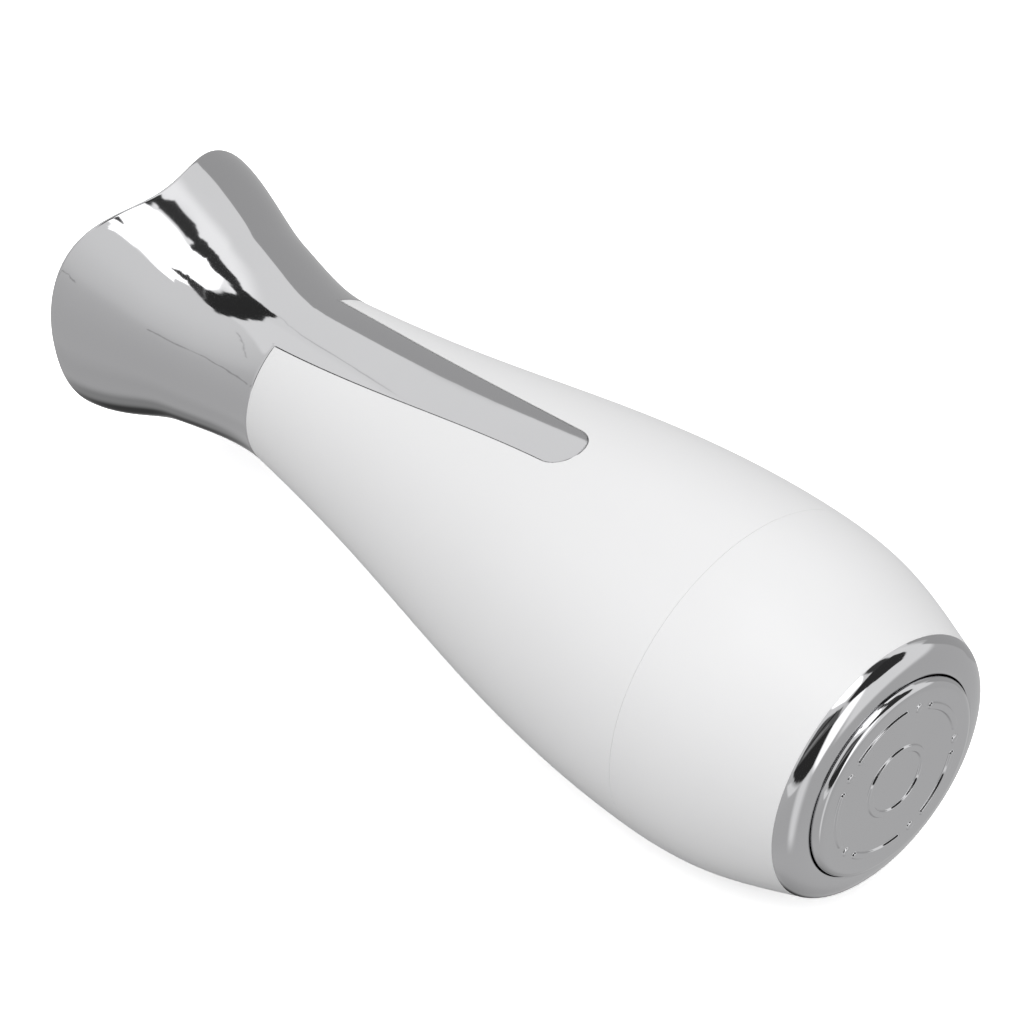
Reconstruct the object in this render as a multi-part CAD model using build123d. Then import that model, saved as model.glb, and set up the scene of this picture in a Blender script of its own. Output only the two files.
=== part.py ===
from build123d import *
import os
from math import copysign, cos, pi, sin

os.makedirs("parts", exist_ok=True)

# A hand-held facial massager. Its axis lies along X: the round massage plate is at +X, the flared
# tail at -X, the tail's long tongue on top and the power button underneath. All sizes are in mm.
# While the pieces are made, x counts from the tail's two tips and the axis is at y = z = 0.

# Overall shape of the casing, which is turned about its axis from the neck to the bezel
length = 150.0
neck_x = 36.85
neck_radius = 13.76
neck_slope = 0.113
grip_from_neck = 23.2
grip_radius = 17.07
shoulder_from_neck = 53.2
shoulder_radius = 22.64
belly_from_front = 27.4
belly_radius = 25.27
brow_from_front = 13.4
brow_radius = 24.13
front_radius = 19.79
front_slope = -0.375
collar_length = 23.9
bezel_rise = 2.34
plate_rise = 1.05
relief_height = 0.25

# How far a cutting solid runs past what it cuts, and how deep joined pieces reach into each other
beyond = 5.0
join = 0.5

# Walls and the gaps between fixed and moving pieces
casing_wall = 2.4
tail_wall = 2.0
fixed_gap = 0.1
glue_gap = 0.05
moving_gap = 0.3
running_gap = 0.06

# Tail: from the round neck to a wide end with a saddle-shaped rim
tail_mid_width = 15.88
tail_end_width = 21.08
tail_end_width_slope = -0.27
tail_mid_height = 14.71
tail_end_height = 21.69
tail_end_height_slope = -0.10
tail_squareness = 0.36
saddle_depth = 5.36
saddle_overrun = 1.0
tail_rim_round = 0.8
tail_cap_recess = 0.8
tail_cap_wall = 2.0
tail_web_wall = 2.0
tail_web_from_neck = 7.85

# Tongue: the strip of the tail that lies in the sleeve's top
tongue_tip_x = 93.7
tongue_root_half = 6.25
tongue_mid_x = 66.0
tongue_mid_half = 4.8
tongue_end_half = 3.7
tongue_wall = 1.4
tongue_drop = 0.04
tongue_root_drop = 0.5
tongue_root_length = 1.5
tongue_gap = 0.12

# Sleeve's inner features
spigot_length = 5.7
spigot_radius = 11.2
spigot_wall = 2.0
spigot_joint_length = 1.5
spigot_joint_inset = 1.0
bulkhead_wall = 2.5
wire_hole_radius = 3.0
wire_hole_drop = 3.0
collar_bore_depth = 2.57
collar_spigot_length = 3.85
collar_spigot_wall = 1.8
rib_wall = 2.0
rib_depth = 1.8
flange_wall = 2.4
flange_hole_radius = 9.1

# Screws, all with the same 2 mm thread
screw_radius = 1.0
screw_head_radius = 1.9
screw_head_height = 1.5
screw_hole_gap = 0.05
screw_clear_gap = 0.15
screw_slot_width = 0.5
screw_slot_depth = 0.6
tail_screw_offset = 7.5
tail_screw_rise = 2.5
tail_screw_length = 6.5

# Battery and its cradle in the chassis
battery_radius = 7.1
battery_length = 50.0
battery_edge_round = 0.6
battery_x = 57.8
battery_z = 0.4
tab_wall = 0.5
tab_width = 6.0
tab_height = 8.0
cradle_wall = 1.2
cradle_side_top = -1.0
cradle_end_top = 4.0
chassis_floor_top = -6.8
chassis_floor_wall = 1.2
chassis_half_width = 9.2
chassis_tail_half_width = 6.0
clip_x = 81.0
clip_length = 6.0
clip_wall = 0.8

# Main board under the chassis floor
board_wall = 1.2
board_half_width = 9.0
board_x = 62.0
board_end_gap = 2.0
board_drawn_length = 52.16
board_lift = 0.02
standoff_height = 0.8
standoff_radius = 2.4
board_screw_length = 3.0
board_screws_on_board = [4.0, 47.96]

# Chips, coil, capacitor and resistors on the board's underside
chip_on_board = 11.5
chip_length = 7.0
chip_height = 1.2
small_chip_on_board = 12.0
small_chip_length = 4.0
small_chip_width = 3.4
small_chip_y = 6.3
small_chip_height = 1.0
driver_on_board = 29.2
driver_length = 4.0
driver_height = 1.1
coil_on_board = 40.5
coil_width = 6.8
coil_length = 7.0
coil_height = 4.6
coil_y = 5.0
capacitor_radius = 2.5
capacitor_height = 7.0
capacitor_y = -4.6
resistor_on_board = 15.9
resistor_pitch = 1.9
resistor_count = 6
resistor_length = 0.8
resistor_width = 1.6
resistor_y = 6.4
resistor_height = 0.5

# Power button in the underside, and its switch
button_on_board = 22.0
button_radius = 6.0
button_proud = 0.3
button_travel = 0.7
button_flange_radius = 7.2
button_flange_z = -17.4
button_flange_wall = 1.0
button_rest_gap = 0.15
button_stem_radius = 2.2
button_well_radius = 9.0
button_well_top = -15.0
switch_size = 6.0
switch_height = 3.1
plunger_radius = 1.7
plunger_proud = 0.9
plunger_depth = 0.6

# Lamp beside the button
lamp_from_button = 13.0
lens_radius = 1.1
lens_collar_radius = 1.8
lens_collar_height = 0.7
lens_collar_clear = 0.06
lamp_size = 2.0
lamp_height = 1.2
lens_lamp_gap = 0.2

# Spring pin that joins the board's ground to the tongue
contact_from_battery = 7.8
contact_barrel_radius = 1.1
contact_tip_radius = 0.7
contact_barrel_top = 6.0
contact_hole_gap = 0.3

# Charging socket and its board in the tail
plug_bore_radius = 1.8
plug_bore_length = 12.0
socket_length = 14.0
socket_half_width = 3.25
socket_hole_radius = 2.7
charge_board_wall = 1.0
charge_board_half_width = 6.5
charge_board_end_gap = 0.5
rail_width = 2.0
rail_wall = 1.0
rail_start_gap = 2.5
wire_radius = 0.5
wire_offset = 2.2
wire_overlap = 4.0

# Bezel ring
lip_radius = 15.35
lip_round = 0.3
bezel_skirt_length = 4.2
bezel_skirt_radius = 17.2
seal_pocket_depth = 0.85
bezel_lip_wall = 2.0
seal_length = 2.2
seal_to_plate = 0.3

# Massage plate with raised marks, and the carrier behind it
plate_radius = 14.9
plate_edge_round = 0.5
plate_wall = 1.2
plate_skirt_wall = 1.0
plate_skirt_length = 5.0
ring_radius = 5.0
mark_width = 0.8
mark_circle_radius = 11.25
mark_count = 5
mark_arc = 46.0
mark_turn = 101.5
mark_round = 0.12
dot_radius = 0.45
carrier_wall = 3.5
post_radius = 1.5
post_offset = 7.9
post_rest_gap = 0.2
post_screw_length = 5.0
post_screw_radius = 0.8
post_screw_head_radius = 2.4

# Spider that carries the plate's four posts, and the shelf that it is screwed to
shelf_from_front = 4.3
shelf_wall = 4.0
shelf_inset = 1.5
spider_wall = 2.5
spider_rim_gap = 0.9
spider_screw_inset = 1.16
spider_screw_tip_gap = 0.4
spider_screw_count = 3
spider_screw_length = 5.7
spider_window_half_height = 5.0
spider_window_clear = 2.0
spring_radius = 2.15
spring_wire = 0.5
spring_turns = 4

# Vibration motor, held across the axis behind the carrier
motor_radius = 3.5
motor_length = 11.0
motor_end_y = 4.0
motor_behind_carrier = 5.5
motor_nose_radius = 1.2
motor_nose_length = 0.6
motor_shaft_radius = 0.5
motor_shaft_out = 5.4
weight_radius = 3.1
weight_length = 4.0
weight_hub_radius = 1.3
weight_from_motor = 1.2
motor_clip_length = 7.0
motor_clip_half_height = 4.8
motor_clip_reach = 2.0
motor_clip_gap = 0.03

# Sealing ring in the collar's spigot
collar_seal_radius = 0.6
collar_seal_from_seam = 1.9

# Places worked out from the sizes above
collar_bore_radius = belly_radius - collar_bore_depth
screw_hole_radius = screw_radius + screw_hole_gap
screw_clear_radius = screw_radius + screw_clear_gap
plate_x = length - relief_height
lip_x = plate_x - plate_rise
front_x = lip_x - bezel_rise
seam_x = front_x - collar_length
collar_spigot_x = seam_x - collar_spigot_length
flange_x = collar_spigot_x - glue_gap - flange_wall
rib_x = flange_x - glue_gap - rib_wall
spigot_x = neck_x - spigot_length
web_x = neck_x - tail_web_from_neck
shelf_front_x = front_x - shelf_from_front
shelf_back_x = shelf_front_x - shelf_wall
spider_x = shelf_back_x - glue_gap - spider_wall
carrier_front_x = plate_x - plate_wall - glue_gap
carrier_x = carrier_front_x - carrier_wall
motor_x = carrier_x - motor_behind_carrier
floor_bottom = chassis_floor_top - chassis_floor_wall
board_top = floor_bottom - standoff_height
board_bottom = board_top - board_wall
post_places = [(side * post_offset, rise * post_offset) for side in (-1, 1) for rise in (-1, 1)]
contact_x = battery_x - contact_from_battery
board_end = flange_x - board_end_gap


# A place on the main board, which keeps its share of the board's length
def on_board(place):
    return board_x + place * (board_end - board_x) / board_drawn_length


button_x = on_board(button_on_board)
lamp_x = on_board(button_on_board + lamp_from_button)
board_screw_xs = [on_board(place) for place in board_screws_on_board]


# Straight lengths of round and square stock
def rod(x0, x1, radius, y=0.0, z=0.0):
    return Pos((x0 + x1) / 2, y, z) * Rot(0, 90, 0) * Cylinder(radius, x1 - x0)


def ring(x0, x1, outer, inner):
    return rod(x0, x1, outer) - rod(x0 - 1, x1 + 1, inner)


def post(z0, z1, radius, x, y=0.0):
    return Pos(x, y, (z0 + z1) / 2) * Cylinder(radius, z1 - z0)


def cross_rod(y0, y1, radius, x):
    return Pos(x, (y0 + y1) / 2, 0) * Rot(90, 0, 0) * Cylinder(radius, y1 - y0)


def block(x0, x1, y0, y1, z0, z1):
    return Pos((x0 + x1) / 2, (y0 + y1) / 2, (z0 + z1) / 2) * Box(x1 - x0, y1 - y0, z1 - z0)


# The casing's outline beside its axis, moved inwards by drop
def casing_line(drop=0.0):
    points = [
        (neck_x, neck_radius - drop),
        (neck_x + grip_from_neck, grip_radius - drop),
        (neck_x + shoulder_from_neck, shoulder_radius - drop),
        (front_x - belly_from_front, belly_radius - drop),
        (front_x - brow_from_front, brow_radius - drop),
        (front_x, front_radius - drop),
    ]
    return Spline(*points, tangents=[(1, neck_slope), (1, front_slope)])


# The casing's radius at one place along the axis
def casing_radius(x):
    line = casing_line()
    low = 0.0
    high = 1.0
    for _ in range(30):
        middle = (low + high) / 2
        if (line @ middle).X < x:
            low = middle
        else:
            high = middle
    return (line @ low).Y


spider_radius = casing_radius(shelf_back_x) - casing_wall - spider_rim_gap
spider_screw_radius = spider_radius - spider_screw_inset
shelf_radius = spider_screw_radius - shelf_inset


# A full turned body inside that outline, carried on a little past the neck
def casing_core(drop=0.0):
    overrun = 3.0
    line = casing_line(drop)
    start = (neck_x - overrun, neck_radius - drop - overrun * neck_slope)
    sides = Polyline((front_x, front_radius - drop), (front_x, 0), (neck_x - overrun, 0), start, line @ 0)
    return revolve(make_face(line + sides), Axis.X)


def casing_slice(x0, x1, drop=0.0):
    return casing_core(drop) & rod(x0, x1, belly_radius + beyond)


# Half width or half height of the tail at x: two cubic curves that meet halfway
def tail_half(x, middle, end, end_slope):
    half = neck_x / 2
    middle_slope = (neck_radius - end) / neck_x
    if x > neck_x:
        return neck_radius + (x - neck_x) * neck_slope
    if x < 0:
        return end + x * end_slope
    if x > half:
        first, first_slope, last, last_slope = middle, middle_slope, neck_radius, neck_slope
        t = (x - half) / half
    else:
        first, first_slope, last, last_slope = end, end_slope, middle, middle_slope
        t = x / half
    bend = (1 - t) ** 2 * t * half * first_slope - t**2 * (1 - t) * half * last_slope
    return (1 + 2 * t) * (1 - t) ** 2 * first + t**2 * (3 - 2 * t) * last + bend


# One section of the tail: round at the neck and a little squarer at the end
def tail_section(x, drop):
    power = 2 + tail_squareness * sin(pi / 2 * min(max(1 - x / neck_x, 0), 1))
    half_width = tail_half(x, tail_mid_width, tail_end_width, tail_end_width_slope) - drop
    half_height = tail_half(x, tail_mid_height, tail_end_height, tail_end_height_slope) - drop
    points = []
    steps = 24
    for step in range(steps):
        turn = 2 * pi * (step + 0.5) / steps
        across = copysign(abs(cos(turn)) ** (2 / power), cos(turn))
        up = copysign(abs(sin(turn)) ** (2 / power), sin(turn))
        points.append((x, half_width * across, half_height * up))
    return make_face(Spline(*points, periodic=True))


def tail_core(drop=0.0):
    spans = 6
    places = [-2.0] + [neck_x * n / spans for n in range(spans + 1)] + [neck_x + 2.0]
    return loft([tail_section(x, drop) for x in places])


# All that lies behind the saddle-shaped end surface, moved inwards by recess
def behind_saddle(recess=0.0):
    half = tail_end_width + saddle_overrun
    rim = Spline(
        (recess, -half),
        (recess + saddle_depth / 2, -half / 2),
        (recess + saddle_depth, 0),
        (recess + saddle_depth / 2, half / 2),
        (recess, half),
        tangents=[(0, 1), (0, 1)],
    )
    wide = half + beyond
    far = neck_x + beyond
    right = [(recess, half), (recess, wide), (far, wide)]
    left = [(far, -wide), (recess, -wide), (recess, -half)]
    return extrude(make_face(rim + Polyline(*right, *left)), tail_end_height + beyond, both=True)


# The tongue's outline seen from above, grown by gap
def tongue_prism(gap=0.0):
    end_x = tongue_tip_x - tongue_end_half
    start_x = neck_x - tongue_root_length
    root = tongue_root_half + gap
    end = tongue_end_half + gap
    middle = tongue_mid_half + gap
    right = Spline((neck_x, -root), (tongue_mid_x, -middle), (end_x, -end), tangents=[(1, 0.02), (1, 0.02)])
    left = Spline((neck_x, root), (tongue_mid_x, middle), (end_x, end), tangents=[(1, -0.02), (1, -0.02)])
    tip = ThreePointArc((end_x, -end), (end_x + end, 0), (end_x, end))
    back = Polyline((neck_x, -root), (start_x, -root), (start_x, root), (neck_x, root))
    return extrude(make_face(right + tip + left + back), belly_radius + beyond)


# A screw along +X or, turned, along +Z: head at its start, with a cross-cut slot
def screw(shank_length, head_radius=screw_head_radius):
    head = rod(-screw_head_height, 0, head_radius)
    slot_end = screw_slot_depth - screw_head_height
    half = screw_slot_width / 2
    slot = block(-screw_head_height - beyond, slot_end, -head_radius, head_radius, -half, half)
    return head + rod(-join, shank_length, screw_radius) - slot - Rot(90, 0, 0) * slot


def make_tail_shell():
    outer = tail_core() & rod(-beyond, neck_x, belly_radius + beyond) & behind_saddle()
    hollow = tail_core(tail_wall) - rod(web_x, web_x + tail_web_wall, tail_end_width)
    shell = outer - hollow
    rim = [edge for edge in shell.edges() if edge.bounding_box().max.X < saddle_depth + join]
    shell = fillet(rim, min(tail_rim_round, 0.4 * tail_wall))
    web_back = web_x + tail_web_wall + join
    shell -= rod(web_x - join, web_back, wire_hole_radius, 0, -wire_hole_drop)
    for side in (-1, 1):
        shell -= rod(web_x - join, web_back, screw_clear_radius, side * tail_screw_offset, tail_screw_rise)
    rail_top = -socket_half_width - charge_board_wall - 2 * glue_gap
    rail_x = saddle_depth + tail_cap_recess + tail_cap_wall + rail_start_gap
    for side in (-1, 1):
        y = side * (charge_board_half_width - rail_width / 2) - rail_width / 2
        shell += block(rail_x, web_x + join, y, y + rail_width, rail_top - rail_wall, rail_top)
    tongue = (casing_core(tongue_drop) - casing_core(tongue_wall)) & tongue_prism()
    tongue &= rod(neck_x, tongue_tip_x + beyond, belly_radius + beyond)
    root = (casing_core(tongue_root_drop) - casing_core(tongue_wall)) & tongue_prism(-tongue_root_drop)
    root &= rod(neck_x - tongue_root_length, neck_x + tongue_root_length, belly_radius + beyond)
    return shell + (tongue + root)


def make_tail_end_cap():
    slab = behind_saddle(tail_cap_recess) - behind_saddle(tail_cap_recess + tail_cap_wall)
    cap = (tail_core(tail_wall + fixed_gap) & slab) - rod(-beyond, neck_x, socket_hole_radius)
    return cap


socket_x = saddle_depth + tail_cap_recess + tail_cap_wall + fixed_gap


def make_charging_socket():
    half = socket_half_width
    body = block(socket_x, socket_x + socket_length, -half, half, -half, half)
    return body - rod(socket_x - 1, socket_x + plug_bore_length, plug_bore_radius)


def make_charge_board():
    top = -socket_half_width - glue_gap
    half = charge_board_half_width
    end = web_x - charge_board_end_gap
    return block(socket_x, end, -half, half, top - charge_board_wall, top)


def make_charge_wires():
    z = -socket_half_width + wire_radius
    start = web_x - charge_board_end_gap - wire_overlap
    end = battery_x - tab_wall - cradle_wall - 3 * glue_gap
    wires = [rod(start, end, wire_radius, side * wire_offset, z) for side in (-1, 1)]
    return Compound(wires)


def make_tail_screws():
    screws = []
    for side in (-1, 1):
        place = Pos(web_x - glue_gap, side * tail_screw_offset, tail_screw_rise)
        screws.append(place * screw(tail_screw_length))
    return Compound(screws)


def make_body_sleeve():
    flange_end = collar_spigot_x - flange_wall
    shell = casing_slice(neck_x, seam_x) - casing_slice(neck_x - beyond, flange_end, casing_wall)
    shell -= rod(flange_end - join, seam_x + 1, collar_bore_radius)
    rib_outer = casing_slice(rib_x, rib_x + rib_wall, casing_wall / 2)
    shell += rib_outer - rod(rib_x - 1, flange_x + 1, collar_bore_radius - rib_depth)
    spigot_bore = spigot_radius - spigot_wall
    spigot_end = neck_x + spigot_joint_length
    shell += ring(spigot_x, spigot_end, spigot_radius, spigot_bore)
    shell += ring(neck_x, spigot_end, neck_radius - spigot_joint_inset, spigot_bore)
    bulkhead = rod(spigot_x, spigot_x + bulkhead_wall, spigot_radius)
    bulkhead -= rod(spigot_x - 1, neck_x, wire_hole_radius, 0, -wire_hole_drop)
    for side in (-1, 1):
        bulkhead -= rod(spigot_x - 1, neck_x, screw_hole_radius, side * tail_screw_offset, tail_screw_rise)
    shell += bulkhead
    # The pocket that the tongue lies in, and the hole under it for the spring pin
    pocket = casing_core(-1) - casing_core(tongue_wall + tongue_gap)
    shell -= pocket & tongue_prism(tongue_gap) & rod(neck_x, tongue_tip_x + beyond, belly_radius + beyond)
    hole_radius = contact_tip_radius + contact_hole_gap
    shell -= post(0, belly_radius, hole_radius, contact_x)
    # The button's well, with a step that keeps the button in
    below = -belly_radius - beyond
    well = post(below, button_well_top, button_well_radius, button_x)
    shell += well & casing_core(casing_wall / 2)
    shell -= post(below, 0, button_radius + moving_gap, button_x)
    step_z = button_flange_z - button_rest_gap
    shell -= post(step_z, 0, button_flange_radius + moving_gap, button_x)
    shell -= post(below, 0, lens_radius + glue_gap, lamp_x)
    return shell


def make_power_button():
    cap = post(-belly_radius - beyond, button_flange_z + join, button_radius, button_x)
    cap &= casing_core(-button_proud)
    flange = post(button_flange_z, button_flange_z + button_flange_wall, button_flange_radius, button_x)
    stem_top = board_bottom - switch_height - plunger_proud
    stem = post(button_flange_z, stem_top, button_stem_radius, button_x)
    return cap + flange + stem


def make_switch_plunger():
    bottom = board_bottom - switch_height - plunger_proud
    return post(bottom, board_bottom - switch_height + plunger_depth, plunger_radius, button_x)


def make_tact_switch():
    half = switch_size / 2
    bottom = board_bottom - switch_height
    body = block(button_x - half, button_x + half, -half, half, bottom, board_bottom)
    hole_top = bottom + plunger_depth + button_travel + moving_gap
    return body - post(bottom - 1, hole_top, plunger_radius + moving_gap, button_x)


def make_lamp():
    half = lamp_size / 2
    return block(lamp_x - half, lamp_x + half, -half, half, board_bottom - lamp_height, board_bottom)


def make_lamp_lens():
    top = board_bottom - lamp_height - lens_lamp_gap
    stem = post(-belly_radius - beyond, top, lens_radius, lamp_x) & casing_core()
    collar_z = casing_wall - casing_radius(lamp_x - lens_collar_radius) + lens_collar_clear
    return stem + post(collar_z, collar_z + lens_collar_height, lens_collar_radius, lamp_x)


def make_chassis():
    tail_start = neck_x + spigot_joint_length + glue_gap
    cradle_x0 = battery_x - tab_wall - 2 * glue_gap
    cradle_x1 = battery_x + battery_length + tab_wall + 2 * glue_gap
    wide_x = cradle_x0 - cradle_wall
    narrow = chassis_tail_half_width
    wide = chassis_half_width
    chassis = block(tail_start, wide_x + join, -narrow, narrow, floor_bottom, chassis_floor_top)
    chassis += block(wide_x, flange_x + join, -wide, wide, floor_bottom, chassis_floor_top)
    chassis += rod(flange_x, flange_x + flange_wall, collar_bore_radius - fixed_gap)
    chassis -= rod(flange_x - join, flange_x + flange_wall + 1, flange_hole_radius, 0, battery_z)
    wall_y = battery_radius + fixed_gap + moving_gap
    for side in (-1, 1):
        y0, y1 = sorted((side * wall_y, side * (wall_y + cradle_wall)))
        chassis += block(wide_x, cradle_x1 + cradle_wall, y0, y1, chassis_floor_top - join, cradle_side_top)
    for x0 in (wide_x, cradle_x1):
        end_y = wall_y + cradle_wall
        chassis += block(x0, x0 + cradle_wall, -end_y, end_y, chassis_floor_top - join, cradle_end_top)
    for x in board_screw_xs:
        chassis += post(board_top, floor_bottom + join, standoff_radius, x)
        chassis -= post(board_top - 1, chassis_floor_top + 1, screw_hole_radius, x)
    return chassis


def make_battery():
    cell = rod(battery_x, battery_x + battery_length, battery_radius, 0, battery_z)
    return fillet(cell.edges().filter_by(GeomType.CIRCLE), battery_edge_round)


def make_battery_tabs():
    tabs = []
    for x0 in (battery_x - glue_gap - tab_wall, battery_x + battery_length + glue_gap):
        low = battery_z - tab_height / 2
        tabs.append(block(x0, x0 + tab_wall, -tab_width / 2, tab_width / 2, low, low + tab_height))
    return Compound(tabs)


def make_battery_clip():
    x0 = clip_x - clip_length / 2
    inner = battery_radius + fixed_gap
    arch = rod(x0, x0 + clip_length, inner + clip_wall, 0, battery_z)
    arch -= rod(x0 - 1, x0 + clip_length + 1, inner, 0, battery_z)
    low = cradle_side_top + glue_gap
    return arch & block(x0, x0 + clip_length, -20, 20, low, 20)


def make_main_board():
    half = board_half_width
    board = block(board_x, board_end, -half, half, board_bottom, board_top - board_lift)
    for x in board_screw_xs:
        board -= post(board_bottom - 1, board_top + 1, screw_clear_radius, x)
    return board


def make_board_screws():
    screws = []
    for x in board_screw_xs:
        screws.append(Pos(x, 0, board_bottom - board_lift) * Rot(0, -90, 0) * screw(board_screw_length))
    return Compound(screws)


# Something that hangs from the board's underside, with its middle at a place on the board
def chip(place, length_along, width, height, y=0.0):
    x = on_board(place)
    x0 = x - length_along / 2
    return block(x0, x0 + length_along, y - width / 2, y + width / 2, board_bottom - height, board_bottom)


def make_board_components():
    pieces = [
        chip(chip_on_board, chip_length, chip_length, chip_height),
        chip(small_chip_on_board, small_chip_length, small_chip_width, small_chip_height, small_chip_y),
        chip(driver_on_board, driver_length, driver_length, driver_height),
        chip(coil_on_board, coil_length, coil_width, coil_height, coil_y),
    ]
    capacitor_x = on_board(coil_on_board)
    capacitor_top = board_bottom - capacitor_height
    pieces.append(post(capacitor_top, board_bottom, capacitor_radius, capacitor_x, capacitor_y))
    for n in range(resistor_count):
        place = resistor_on_board + resistor_pitch * n
        for y in (-resistor_y, resistor_y):
            pieces.append(chip(place, resistor_length, resistor_width, resistor_height, y))
    return Compound(pieces)


def make_hand_contact():
    tip_top = casing_radius(contact_x - contact_tip_radius) - tongue_wall - moving_gap
    barrel = post(chassis_floor_top, contact_barrel_top, contact_barrel_radius, contact_x)
    return barrel + post(contact_barrel_top - 1, tip_top, contact_tip_radius, contact_x)


def make_head_collar():
    collar = casing_slice(seam_x, front_x) - casing_slice(seam_x - 1, front_x, casing_wall)
    spigot_radius_out = collar_bore_radius - fixed_gap
    spigot_radius_in = spigot_radius_out - collar_spigot_wall
    joint = ring(seam_x, seam_x + 2, collar_bore_radius + 1, spigot_radius_in)
    collar += joint + ring(collar_spigot_x, seam_x + 1, spigot_radius_out, spigot_radius_in)
    shelf = casing_slice(shelf_back_x, shelf_front_x, casing_wall / 2)
    collar += shelf - rod(shelf_back_x - 1, shelf_front_x + 1, shelf_radius)
    hole_end = shelf_front_x - spider_screw_tip_gap
    for y, z in spider_screw_places():
        collar -= rod(shelf_back_x - 1, hole_end, screw_hole_radius, y, z)
    groove_x = seam_x - collar_seal_from_seam
    half = collar_seal_radius + glue_gap
    groove_radius = collar_bore_radius - 2 * collar_seal_radius - 2 * glue_gap
    collar -= ring(groove_x - half, groove_x + half, collar_bore_radius + 1, groove_radius)
    return collar


def make_collar_seal():
    major = collar_bore_radius - glue_gap - collar_seal_radius
    return Pos(seam_x - collar_seal_from_seam, 0, 0) * Rot(0, 90, 0) * Torus(major, collar_seal_radius)


def make_bezel_ring():
    front = Spline(
        (front_x, front_radius),
        (lip_x, lip_radius + lip_round),
        tangents=[(1, front_slope), (0.15, -1)],
    )
    skirt_x = front_x - bezel_skirt_length
    pocket_x = lip_x - bezel_lip_wall
    pocket_radius = lip_radius + seal_pocket_depth
    inside = Polyline(
        (lip_x, lip_radius + lip_round),
        (lip_x - lip_round, lip_radius),
        (pocket_x, lip_radius),
        (pocket_x, pocket_radius),
        (skirt_x, pocket_radius),
        (skirt_x, bezel_skirt_radius),
        (front_x + glue_gap, bezel_skirt_radius),
        (front_x + glue_gap, front_radius - 0.5),
        (front_x, front_radius),
    )
    return revolve(make_face(front + inside), Axis.X)


def make_plate_seal():
    end = lip_x - bezel_lip_wall - glue_gap
    outer = lip_radius + seal_pocket_depth - glue_gap
    return ring(end - seal_length, end, outer, plate_radius + seal_to_plate)


# Raised ring, arcs and dots on the plate's face
def plate_marks():
    face = Plane(origin=(plate_x - 0.2, 0, 0), x_dir=(0, 1, 0), z_dir=(1, 0, 0))
    height = relief_height + 0.2
    ring_sketch = Circle(ring_radius + mark_width / 2) - Circle(ring_radius - mark_width / 2)
    marks = [extrude(face * ring_sketch, height)]
    for n in range(mark_count):
        turn = mark_turn + 360 / mark_count * n
        middle_line = CenterArc((0, 0), mark_circle_radius, turn - mark_arc / 2, mark_arc)
        marks.append(extrude(face * SlotArc(middle_line, mark_width), height))
        dot = PolarLocations(mark_circle_radius, 1, turn + 180 / mark_count)
        marks.append(extrude(face * (dot.locations[0] * Circle(dot_radius)), height))
    softened = []
    for mark in marks:
        tops = mark.edges().filter_by_position(Axis.X, length - 0.01, length + 0.01)
        softened.append(fillet(tops, mark_round))
    return softened


def make_massage_plate():
    round_off = plate_edge_round
    back_x = plate_x - plate_wall
    skirt_x = plate_x - plate_skirt_length
    inner = plate_radius - plate_skirt_wall
    top = Line((plate_x, 0), (plate_x, plate_radius - round_off))
    edge = RadiusArc((plate_x, plate_radius - round_off), (plate_x - round_off, plate_radius), round_off)
    rest = Polyline(
        (plate_x - round_off, plate_radius),
        (skirt_x, plate_radius),
        (skirt_x, inner),
        (back_x, inner),
        (back_x, 0),
        (plate_x, 0),
    )
    plate = revolve(make_face(top + edge + rest), Axis.X)
    for mark in plate_marks():
        plate += mark
    return plate


# The carrier's four posts end in front of their screws' heads, a travel behind the spider
post_end_x = spider_x - post_rest_gap


def make_plate_carrier():
    carrier = rod(carrier_x, carrier_front_x, plate_radius - plate_skirt_wall - fixed_gap)
    post_hole_radius = post_screw_radius + screw_hole_gap
    for y, z in post_places:
        carrier += rod(post_end_x, carrier_x + 0.5, post_radius, y, z)
        carrier -= rod(post_end_x - 1, post_end_x + post_screw_length + join, post_hole_radius, y, z)
    return carrier


def make_post_screws():
    screws = []
    for y, z in post_places:
        head_x = post_end_x - glue_gap
        slot_x = head_x - screw_head_height
        head = rod(slot_x, head_x, post_screw_head_radius, y, z)
        shank = rod(head_x - join, post_end_x + post_screw_length, post_screw_radius, y, z)
        half = screw_slot_width / 2
        wide = post_screw_head_radius
        slot = block(slot_x - 1, slot_x + screw_slot_depth, y - wide, y + wide, z - half, z + half)
        slot += block(slot_x - 1, slot_x + screw_slot_depth, y - half, y + half, z - wide, z + wide)
        screws.append(head + shank - slot)
    return Compound(screws)


def spider_screw_places():
    place = PolarLocations(spider_screw_radius, spider_screw_count, 90)
    return [(spot.position.X, spot.position.Y) for spot in place.locations]


def make_spider():
    spider = rod(spider_x, spider_x + spider_wall, spider_radius)
    window_y0 = motor_end_y - motor_length - spider_window_clear
    window_y1 = motor_end_y + motor_shaft_out + spider_window_clear
    half = spider_window_half_height
    spider -= block(spider_x - 1, shelf_back_x + 1, window_y0, window_y1, -half, half)
    for y, z in post_places:
        spider -= rod(spider_x - 1, shelf_back_x + 1, post_radius + running_gap, y, z)
    for y, z in spider_screw_places():
        spider -= rod(spider_x - 1, shelf_back_x + 1, screw_clear_radius, y, z)
    return spider


def make_spider_screws():
    screws = []
    for y, z in spider_screw_places():
        screws.append(Pos(spider_x - glue_gap, y, z) * screw(spider_screw_length))
    return Compound(screws)


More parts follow.
